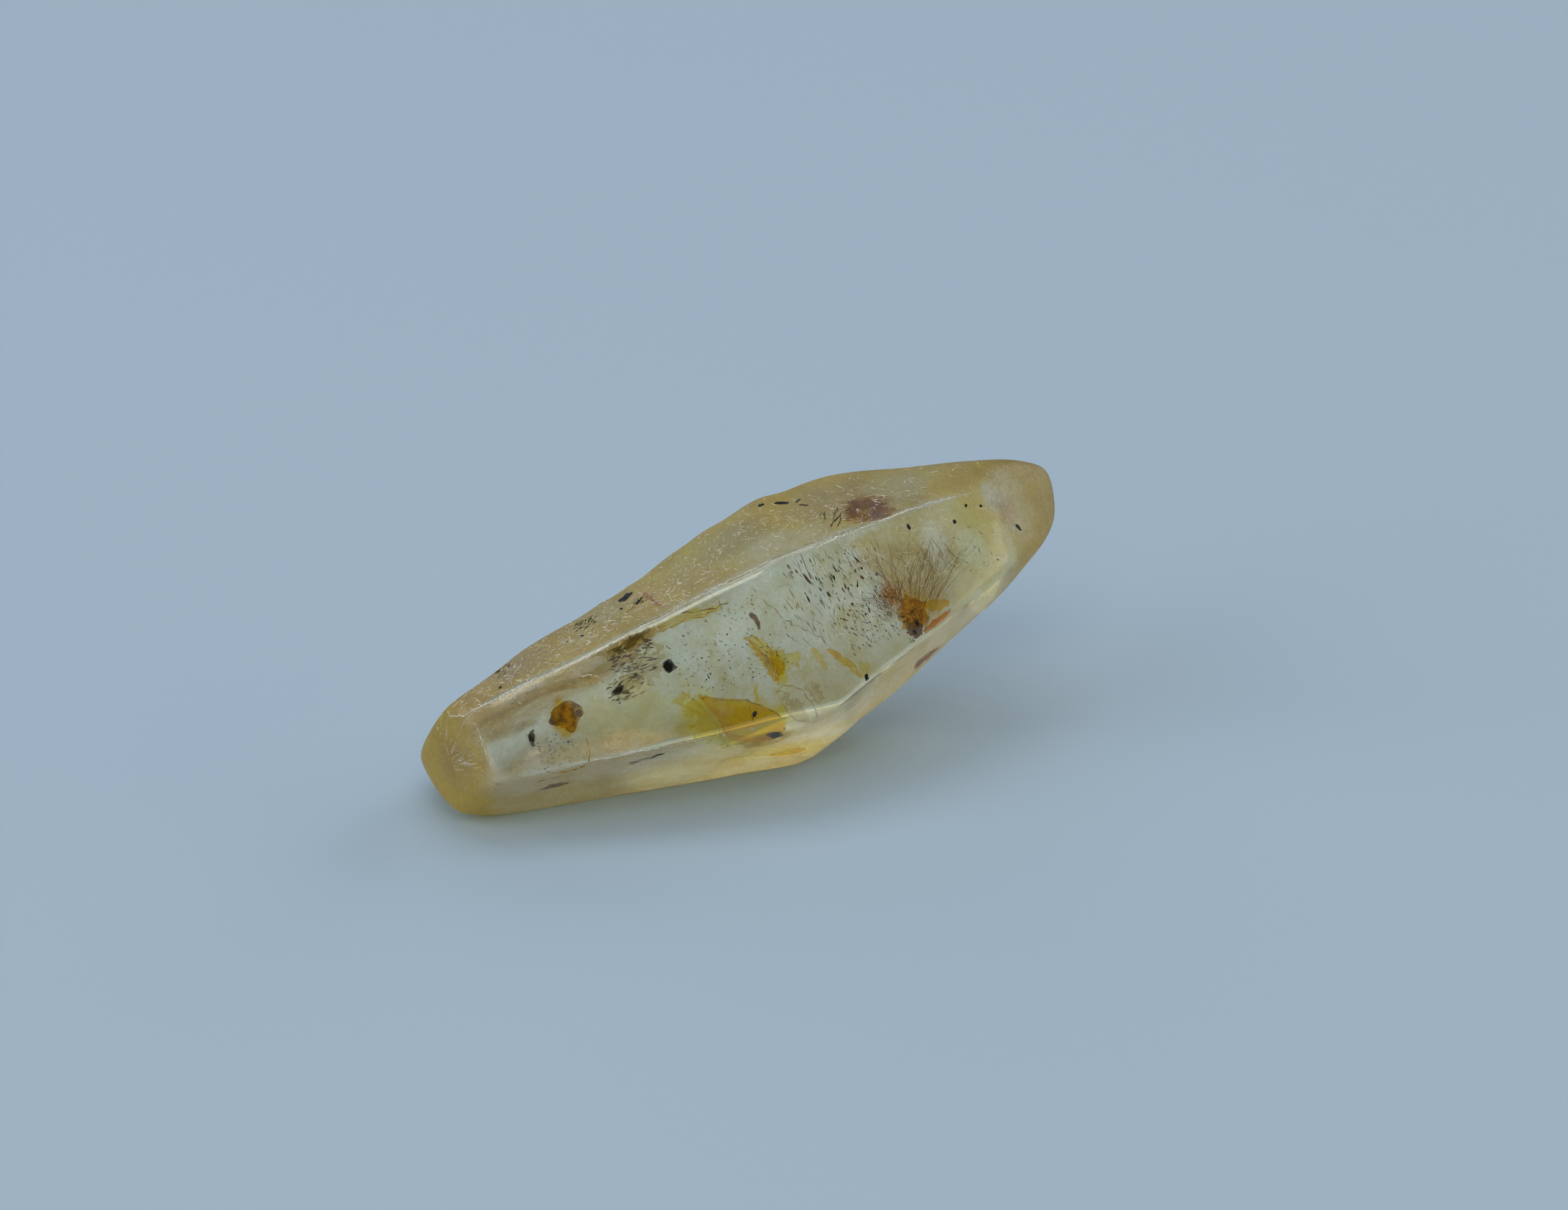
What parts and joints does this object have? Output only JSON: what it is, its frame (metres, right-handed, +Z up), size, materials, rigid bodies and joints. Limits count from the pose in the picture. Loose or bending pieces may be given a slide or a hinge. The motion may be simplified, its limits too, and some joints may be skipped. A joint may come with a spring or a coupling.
{
  "type": "sapphire crystal",
  "caption": "Loose waterworn sapphire crystal: a pale straw-coloured, see-through six-sided double pyramid with blunt tips, lying on one face.",
  "frame": {"origin": "on the surface that the crystal rests on, under the middle of its box", "axes": "+Z up from the resting face; the long axis lies in the XZ plane and climbs 13 degrees towards +X; -Y is the front, the clear face with the dark needles"},
  "size_m": [0.0212, 0.0084, 0.0085],
  "materials": {
    "sapphire": "clear to frosted, waterworn, pale straw yellow"
  },
  "bodies": {
    "root": {"sapphire_crystal": "sapphire"}
  },
  "joints": []
}
